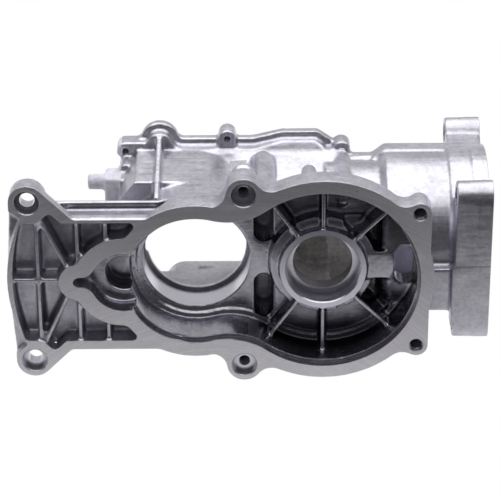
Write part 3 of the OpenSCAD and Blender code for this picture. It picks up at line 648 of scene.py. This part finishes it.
def cast_relief():
    """The cast skin's relief: a fine grain, long drag marks, slow waves and the seam."""
    group, given, result = shader_group("cast_relief", ("Strength",),
                                        {"Normal": "Vector", "Drag": "Float", "Seam": "Float"})
    place_at = add(group, "ShaderNodeTexCoord").outputs["Object"]
    apart = add(group, "ShaderNodeSeparateXYZ", {0: place_at})
    wavy = maths(group, "ADD", apart.outputs["Z"],
                 remap(group, noise(group, place_at, 300), 0.3, 0.7, -SEAM_WANDER, SEAM_WANDER))
    on_line = remap(group, maths(group, "ABSOLUTE", wavy), SEAM_CORE, SEAM_EDGE, 1.0, 0.0)
    seam = maths(group, "MULTIPLY", on_line,
                 maths(group, "GREATER_THAN", apart.outputs["X"], SEAM_START_X))
    grain = noise(group, place_at, 1500, 3, 0.6)
    waves = noise(group, place_at, 120, 3, 0.5)
    stretched = add(group, "ShaderNodeMapping", {"Vector": place_at, "Scale": (60, 900, 900)})
    drag = noise(group, stretched.outputs["Vector"], 1, 3, 0.6)
    height = maths(group, "ADD", maths(group, "MULTIPLY", grain, GRAIN_HEIGHT),
                   maths(group, "ADD", maths(group, "MULTIPLY", waves, WAVE_HEIGHT),
                         maths(group, "SUBTRACT", maths(group, "MULTIPLY", drag, DRAG_HEIGHT),
                               maths(group, "MULTIPLY", seam, SEAM_DEPTH))))
    edge = add(group, "ShaderNodeBevel", {"Radius": SOFT_EDGE}, samples=4)
    bump = add(group, "ShaderNodeBump", {
        "Strength": given.outputs["Strength"], "Distance": RELIEF, "Height": height,
        "Normal": edge.outputs["Normal"]})
    group.links.new(bump.outputs["Normal"], result.inputs["Normal"])
    group.links.new(drag, result.inputs["Drag"])
    group.links.new(remap(group, seam, 0, 1, 1.0, SEAM_TONE), result.inputs["Seam"])
    return group


GROUPS["cast_relief"] = cast_relief()
print("the cast relief has", len(GROUPS["cast_relief"].nodes), "nodes")

# %% [markdown]
# ## The arcs that the face mill leaves
# A large face mill leaves fine arcs about its own centre, and it opens pores in the
# casting. A Wave texture would make the arcs too even. Here a noise is read along the
# distance from a far centre, so that they differ as real ones do, and the pores are the
# small middles of a Voronoi texture's cells.

# %% Build the face mill's arcs
MILL_CENTRE_X, MILL_CENTRE_Z = -0.045, -0.13
ARCS_PER_METRE = 1150.0
PORE_SCALE, PORE_CORE, PORE_EDGE, PORE_TONE = 110, 0.022, 0.038, 0.25
ARC_RELIEF, CUT_EDGE = 0.00006, 0.0004


def mill_arcs():
    """The arcs that a large face mill leaves: fine rings about a far centre."""
    group, given, result = shader_group("mill_arcs", ("Centre X", "Centre Z"),
                                        {"Normal": "Vector", "Line": "Float", "Pit": "Float"})
    place_at = add(group, "ShaderNodeTexCoord").outputs["Object"]
    centre = add(group, "ShaderNodeCombineXYZ", {
        "X": given.outputs["Centre X"], "Z": given.outputs["Centre Z"]})
    flat = add(group, "ShaderNodeVectorMath", {0: place_at, 1: (1, 0, 1)}, operation="MULTIPLY")
    spoke = add(group, "ShaderNodeVectorMath", {0: flat.outputs[0], 1: centre.outputs[0]},
                operation="SUBTRACT")
    reach = add(group, "ShaderNodeVectorMath", {0: spoke.outputs[0]}, operation="LENGTH")
    ring = add(group, "ShaderNodeCombineXYZ", {
        "X": maths(group, "MULTIPLY", reach.outputs["Value"], ARCS_PER_METRE),
        "Y": maths(group, "MULTIPLY", noise(group, place_at, 40), 2.0)})
    line = noise(group, ring.outputs[0], 1, 3, 0.7)
    edge = add(group, "ShaderNodeBevel", {"Radius": CUT_EDGE}, samples=4)
    bump = add(group, "ShaderNodeBump", {
        "Strength": 0.35, "Distance": ARC_RELIEF, "Height": line,
        "Normal": edge.outputs["Normal"]})
    group.links.new(bump.outputs["Normal"], result.inputs["Normal"])
    group.links.new(line, result.inputs["Line"])
    pore = add(group, "ShaderNodeTexVoronoi", {"Vector": place_at, "Scale": PORE_SCALE})
    group.links.new(remap(group, pore.outputs["Distance"], PORE_CORE, PORE_EDGE, PORE_TONE, 1.0),
                    result.inputs["Pit"])
    return group


GROUPS["mill_arcs"] = mill_arcs()
print("the mill arcs have", len(GROUPS["mill_arcs"].nodes), "nodes")

# %% [markdown]
# ## Seven finishes
# All of them are bare aluminium. Three are the ways in which the part was made: cast,
# milled and turned. Four more are copies of the cast metal with shade or light painted into
# their colour: the gear chamber and the motor room are darker, painted shade, and the small
# block at the left and the crank room are lighter, painted light. The motor room, the block
# and the crank room are also duller. They could be one material with masks. Separate ones,
# each with its own few numbers, are easier to tune.

# %% Make the materials
CLEAN = (0.655, 0.645, 0.715)
FRESH_CUT = (0.69, 0.675, 0.715)
# The rooms' colours are copies of the cast metal's: darker ones paint shade into the gear chamber
# and the motor room, lighter ones paint light onto the left block and into the crank room.
CHAMBER_SHADE_TONE = (0.55, 0.545, 0.61)
LIGHT_MATTE_TONE = (0.80, 0.79, 0.88)
MOTOR_ROOM_SHADE_TONE = (0.52, 0.515, 0.56)
CRANK_ROOM_LIGHT_TONE = (0.99, 0.965, 0.935)
# The near-black that painted shade mixes into the metal's colour.
SHADE_BLACK = (0.040, 0.041, 0.055, 1)


def use(tree, name, **values):
    """Puts a shader group into a material."""
    made = add(tree, "ShaderNodeGroup", node_tree=GROUPS[name])
    for key, value in values.items():
        made.inputs[key.replace("_", " ")].default_value = value
    return made


def metal_colour(tree, colour, stain, dirt, tone=1.0, grease=0.0):
    """A metal toned by its cloudy patches and darkened by painted shade in its corners and at the
    bottom.
    """
    toned = add(tree, "ShaderNodeVectorMath", {
        0: colour, "Scale": maths(tree, "MULTIPLY", stain.outputs["Tone"], tone)},
        operation="SCALE")
    # Painted shade: the colour is mixed towards near-black in recesses and at the bottom.
    shade_share = maths(tree, "MULTIPLY", stain.outputs["Dirt"], dirt)
    if grease:
        low_share = maths(tree, "MULTIPLY", stain.outputs["Sump"], grease)
        shade_share = maths(tree, "MAXIMUM", shade_share, low_share)
    return add(tree, "ShaderNodeMix", {"Factor": shade_share, "A": toned.outputs[0], "B": SHADE_BLACK},
               data_type="RGBA").outputs["Result"]


def cast_metal(name, colour, rough, reach, dirt, waves, metallic=1.0, grease=0.0, cloudy=0.36):
    """The skin as it came from the die: its colour, roughness, painted shade and waves."""
    material, tree, shader = new_material(name, colour, rough[0], metallic)
    # Reach is how far the ambient occlusion looks for the painted shade.
    stain = use(tree, "stains", Strength=cloudy, Reach=reach)
    relief = use(tree, "cast_relief", Strength=waves)
    roughness = remap(tree, relief.outputs["Drag"], 0.3, 0.7, *rough)
    streak = remap(tree, relief.outputs["Drag"], 0.3, 0.7, 0.93, 1.07)
    streak = maths(tree, "MULTIPLY", streak, relief.outputs["Seam"])
    tree.links.new(metal_colour(tree, colour, stain, dirt, streak, grease),
                   shader.inputs["Base Color"])
    tree.links.new(roughness, shader.inputs["Roughness"])
    tree.links.new(relief.outputs["Normal"], shader.inputs["Normal"])
    return material


def along_arcs(tree):
    """The direction of the mill's arcs, in which the metal's gloss is drawn out."""
    spoke = add(tree, "ShaderNodeVectorMath", {
        0: add(tree, "ShaderNodeTexCoord").outputs["Object"],
        1: (MILL_CENTRE_X, 0, MILL_CENTRE_Z)}, operation="SUBTRACT")
    return add(tree, "ShaderNodeVectorMath", {0: spoke.outputs[0], 1: (0, 1, 0)},
               operation="CROSS_PRODUCT").outputs[0]


def milled_metal():
    """The flat faces under the face mill."""
    material, tree, shader = new_material("milled_aluminium", FRESH_CUT, 0.5, 0.86)
    stain = use(tree, "stains", Strength=0.10, Reach=0.004)
    arcs = use(tree, "mill_arcs", Centre_X=MILL_CENTRE_X, Centre_Z=MILL_CENTRE_Z)
    roughness = remap(tree, arcs.outputs["Line"], 0.3, 0.7, 0.42, 0.58)
    tone = maths(tree, "MULTIPLY", remap(tree, arcs.outputs["Line"], 0.35, 0.65, 0.96, 1.20),
                 arcs.outputs["Pit"])
    shader.inputs["Anisotropic"].default_value = 0.5
    # The milled faces take a little painted shade in their corners.
    tree.links.new(metal_colour(tree, FRESH_CUT, stain, 0.3, tone), shader.inputs["Base Color"])
    tree.links.new(roughness, shader.inputs["Roughness"])
    tree.links.new(arcs.outputs["Normal"], shader.inputs["Normal"])
    tree.links.new(along_arcs(tree), shader.inputs["Tangent"])
    return material


def turned_metal():
    """The bores, left bright by the boring bar."""
    material, tree, shader = new_material("turned_aluminium", CLEAN, 0.26, 1)
    stain = use(tree, "stains", Strength=0.06, Reach=0.006)
    # The turned faces take painted shade in their corners too.
    tree.links.new(metal_colour(tree, CLEAN, stain, 0.6, 1.1), shader.inputs["Base Color"])
    return material


# Each finish says how much painted shade it takes in its recesses and at its bottom.
MATERIALS = [
    cast_metal("cast_aluminium", CLEAN, rough=(0.30, 0.44), reach=0.006, dirt=0.48, waves=0.36),
    milled_metal(),
    turned_metal(),
    # The gear chamber's copy is darker: painted shade.
    cast_metal("chamber_aluminium", CHAMBER_SHADE_TONE, rough=(0.20, 0.28), reach=0.020, dirt=0.84,
               waves=0.20, grease=0.93),
    # The left block's copy is lighter and duller: painted light.
    cast_metal("matte_aluminium", LIGHT_MATTE_TONE, rough=(0.55, 0.75), reach=0.004, dirt=0.15, waves=0.4,
               metallic=0.1),
    # The motor room's copy is darker and duller: painted shade.
    cast_metal("motor_room_aluminium", MOTOR_ROOM_SHADE_TONE, rough=(0.5, 0.65), reach=0.004, dirt=0.3,
               waves=0.3, metallic=0.3),
    # The crank room's copy is lighter and duller: painted light, with painted shade at its bottom.
    cast_metal("crank_room_aluminium", CRANK_ROOM_LIGHT_TONE, rough=(0.4, 0.6), reach=0.003, dirt=0.1,
               waves=1.0, metallic=0.3, grease=0.95, cloudy=0.6),
]
CAST, MILLED, TURNED, SHADED_CHAMBER, LIT_MATTE, SHADED_MOTOR_ROOM, LIT_CRANK_ROOM = range(len(MATERIALS))
print("materials:", ", ".join(material.name for material in MATERIALS))

# %% [markdown]
# ## Each face takes its finish
# The real part's finish follows from where the tools went, and so does this one's, but
# in the rooms the faces take copies of the cast metal with shade or light painted into their
# colour. The faces could be picked by hand, but any change to the mesh would undo that. So
# each face of the skin looks up its place: in a room or outside, then on a bore's wall or
# floor, then on one of the three milled planes. A later finding takes the place of an earlier
# one.

# %% Give each face its finish
FAR = 1000
SKIN = 0.6
CHAMBER_END = 17.5
WAIST = {"x": (-46, -14), "z": (-28, 28)}
IDLER_ROOM_R = 14.4
BEHIND_CRANK_R, BEHIND_CRANK = 24.5, {"y": (14, 51.5)}
LEFT_BLOCK = {"x": (-FAR, -88.6), "y": (30, FAR)}
RIM_CHANNEL = {"x": (-FAR, -62), "y": (-5.6, 0.1), "z": (29, 33.2)}
BEHIND_ARMATURE = {"x": (armature[0] - 27, armature[0] + 27), "y": (33, 63.5), "z": (-29, 29)}
BEHIND_BARREL_R, BEHIND_BARREL = 25.4, {"x": (-24, 46), "y": (12, FAR)}
# Two turned places take the finish of the rooms round them: the idler's seat the gear
# chamber's painted shade, the barrel's mouth the crank room's painted light.
IDLER_SEAT = {"x": (-95, -77.5), "z": (-8.6, 8.6)}
BARREL_MOUTH = {"x": (28, 42), "y": (42, FAR)}
BORE_GAP = {Y_AXIS: 0.12, X_AXIS: 0.08}
STEP_WIDTH = REGISTER_STEP + 0.3
FLAT_GAP, FLAT_TURN = 0.01, 0.99


def within(points, x=(-FAR, FAR), y=(-FAR, FAR), z=(-FAR, FAR)):
    """Which points lie in a box, in millimetres."""
    low, high = np.array((x, y, z)).T
    return ((points > low) & (points < high)).all(axis=1)


def from_axis(points, axis, centre):
    """How far each point lies from an axis."""
    return np.linalg.norm(points[:, across(axis)] - np.array(centre), axis=1)


def finish_rooms(index, at):
    """Sets the finish of the faces whose centres lie in a room, with its painted shade or light.
    """
    from_crank = from_axis(at, Y_AXIS, (0, 0))
    in_chamber = ((from_crank < ROOM_R + SKIN)
                  | (from_axis(at, Y_AXIS, (armature[0], 0)) < ARMATURE_ROOM_R + SKIN)
                  | (from_axis(at, Y_AXIS, IDLER) < IDLER_ROOM_R) | within(at, **WAIST))
    from_barrel = from_axis(at, X_AXIS, (barrel[1], 0))
    # The gear chamber's faces take its darker copy: painted shade.
    index[in_chamber & within(at, y=(-FAR, CHAMBER_END))] = SHADED_CHAMBER
    # The crank room's faces take its lighter copy: painted light.
    index[(from_crank < BEHIND_CRANK_R) & within(at, **BEHIND_CRANK)] = LIT_CRANK_ROOM
    # The left block's faces take its lighter copy: painted light.
    index[within(at, **LEFT_BLOCK)] = LIT_MATTE
    # The rim channel's faces take the gear chamber's painted shade.
    index[within(at, **RIM_CHANNEL)] = SHADED_CHAMBER
    # The motor room's faces take its darker copy: painted shade.
    index[within(at, **BEHIND_ARMATURE)] = SHADED_MOTOR_ROOM
    # The room behind the barrel takes the crank room's painted light.
    index[(from_barrel < BEHIND_BARREL_R) & within(at, **BEHIND_BARREL)] = LIT_CRANK_ROOM


def finish_bores(index, at):
    """Sets the finish of the faces on a bore's stations or on the register's step."""
    for item in BORES:
        distance = from_axis(at, item["axis"], item["centre"])
        section = np.column_stack((at[:, item["axis"]], distance))
        for first, last in zip(item["stations"], item["stations"][1:]):
            first, run = np.array(first, dtype=float), np.subtract(last, first)
            share = np.clip((section - first) @ run / (run @ run), 0, 1)
            gap = np.linalg.norm(section - first - share[:, None] * run, axis=1)
            index[gap < BORE_GAP[item["axis"]]] = TURNED
    for finish, box in ((SHADED_CHAMBER, IDLER_SEAT), (LIT_CRANK_ROOM, BARREL_MOUTH)):
        index[(index == TURNED) & within(at, **box)] = finish
    shallow = np.flatnonzero(within(at, y=(FACE_Y + ON_PLANE, REGISTER_Y + PAST_FLOOR)))
    flat = at[shallow][:, (0, 2)]
    apart = np.linalg.norm(flat[:, None] - register[None], axis=2).min(axis=1)
    index[shallow[apart < STEP_WIDTH]] = TURNED


def finish_faces(mesh):
    """Sets the material of every face from its place, and counts the faces of each."""
    count = len(mesh.polygons)
    centres, normals = np.empty(count * 3), np.empty(count * 3)
    mesh.polygons.foreach_get("center", centres)
    mesh.polygons.foreach_get("normal", normals)
    centres, normals = centres.reshape(-1, 3) / MM, normals.reshape(-1, 3)
    index = np.full(count, CAST, dtype=np.int32)
    finish_rooms(index, centres)
    finish_bores(index, centres)
    for axis, value, _ in PLANES:
        index[(np.abs(centres[:, axis] - value) < FLAT_GAP)
              & (np.abs(normals[:, axis]) > FLAT_TURN)] = MILLED
    mesh.materials.clear()
    for material in MATERIALS:
        mesh.materials.append(material)
    mesh.polygons.foreach_set("material_index", index)
    mesh.shade_smooth()
    mesh.set_sharp_from_angle(angle=math.radians(30))
    return np.bincount(index, minlength=len(MATERIALS))


print("faces of each finish:", finish_faces(skin.data).tolist())

# %% [markdown]
# ## The threads in their holes
# Each tapped hole gets one point at the start of its thread. The point carries a size: the
# hole's radius across, and along the hole its depth over the height of the unit thread.
# The tree could stay live, but the export wants plain meshes, so its result is taken as a
# mesh and the points are thrown away.

# %% Wind the threads
def baked(name, points, sizes, group, **values):
    """Points with sizes put through a node group and turned into a plain mesh object."""
    mesh = bpy.data.meshes.new(name + "_points")
    mesh.from_pydata([Vector(point) * MM for point in points], [], [])
    mesh.attributes.new("size", "FLOAT_VECTOR", "POINT").data.foreach_set(
        "vector", (np.array(sizes) * MM).ravel())
    carrier = bpy.data.objects.new(name + "_points", mesh)
    scene.collection.objects.link(carrier)
    modifier = carrier.modifiers.new("nodes", "NODES")
    modifier.node_group = group
    for item in group.interface.items_tree:
        if item.in_out == "INPUT" and item.name in values:
            modifier[item.identifier] = values[item.name]
    carrier.update_tag()
    bpy.context.view_layer.update()
    made = bpy.data.meshes.new_from_object(
        carrier.evaluated_get(bpy.context.evaluated_depsgraph_get()))
    made.name = name
    bpy.data.objects.remove(carrier)
    obj = bpy.data.objects.new(name, made)
    scene.collection.objects.link(obj)
    return obj


threads = baked("threads", [(centre[0], low, centre[1]) for centre, low, _, _ in TAPPED],
                [(hole - THREAD_GAP, hole - THREAD_GAP, (high - low) / THREAD_HEIGHT)
                 for _, low, high, hole in TAPPED],
                winding, Turns=THREAD_TURNS, Ridge=THREAD_RIDGE, Material=MATERIALS[TURNED])
print("threads have", len(threads.data.polygons), "faces")

# %% [markdown]
# ## The two pieces ride on the housing
# The part has no joint, so both pieces ride on its one body. They replace the plain CAD
# solid, which is hidden.

# %% Place the pieces
pieces = [skin, threads]
for piece in pieces:
    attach(piece, "root")
    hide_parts("housing")
print(len(pieces), "pieces,", sum(len(piece.data.polygons) for piece in pieces), "faces")

# %% Set the view transform
scene.view_settings.view_transform = "Standard"
